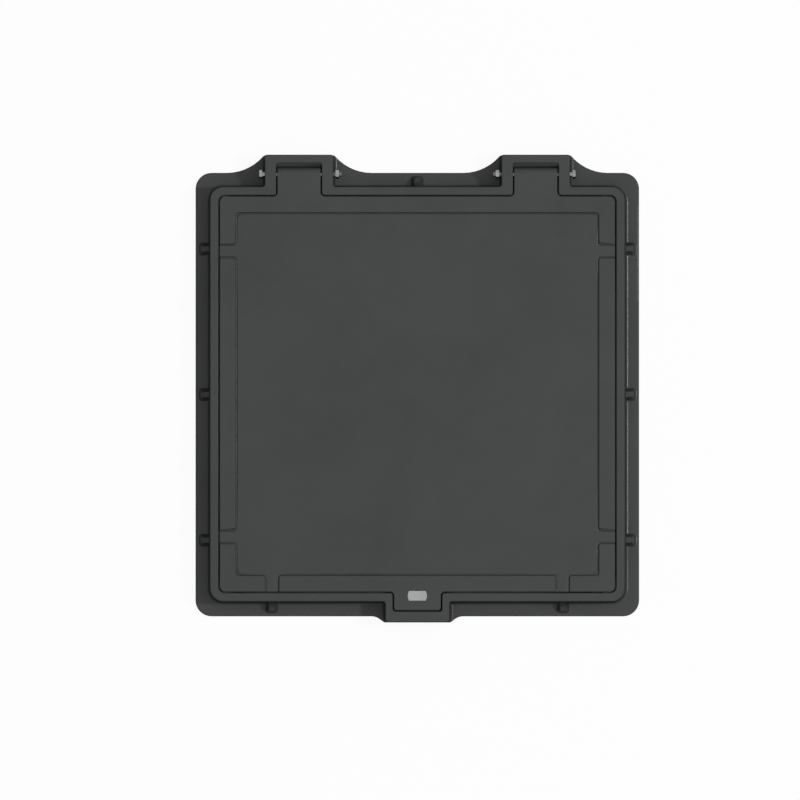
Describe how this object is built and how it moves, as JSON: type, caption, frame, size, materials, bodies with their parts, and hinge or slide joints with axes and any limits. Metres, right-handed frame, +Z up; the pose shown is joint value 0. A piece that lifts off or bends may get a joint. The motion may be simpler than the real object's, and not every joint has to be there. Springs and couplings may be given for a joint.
{
  "type": "manhole cover",
  "caption": "Square composite manhole cover, hinged and lockable, in its flanged frame with gussets; closes an access opening in the ground.",
  "frame": {"origin": "on the bedding plane under the flange, below the middle of the overall outline", "axes": "+Z up out of the ground, +Y towards the hinges, X along the hinge axis"},
  "size_m": [0.7524, 0.7926, 0.075],
  "materials": {
    "composite": "moulded, dark grey, finely grained",
    "steel": "plain stainless",
    "plug": "moulded, light grey",
    "rubber": "black EPDM",
    "brass": "turned"
  },
  "bodies": {
    "frame": {"frame": "composite", "cover_seal": "rubber", "hinge_bolt_left": "steel", "hinge_bolt_right": "steel", "hinge_nut_left": "steel", "hinge_nut_right": "steel"},
    "cover": {"cover": "composite", "hinge_bush_left": "steel", "hinge_bush_right": "steel", "lock_gasket": "rubber", "lock_housing": "steel", "lock_screw_left": "steel", "lock_screw_right": "steel", "lock_insert_left": "brass", "lock_insert_right": "brass", "lock_disc_spring": "steel"},
    "lock": {"lock_spindle": "steel", "lock_cam": "steel", "lock_cam_washer": "steel", "lock_cam_nut": "steel"},
    "plug": {"keyhole_plug": "plug"}
  },
  "joints": [
    {"name": "cover_hinge", "type": "hinge", "parent": "frame", "child": "cover", "pos_m": [0, 0.36235, 0.063], "axis": [-1, 0, 0], "range_deg": [0, 95]},
    {"name": "lock_turn", "type": "hinge", "parent": "cover", "child": "lock", "pos_m": [0, -0.35125, 0.05], "axis": [0, 0, 1], "range_deg": [0, 90]},
    {"name": "plug_pull", "type": "slide", "parent": "cover", "child": "plug", "axis": [0, 0, 1], "range_m": [0, 0.03]}
  ]
}
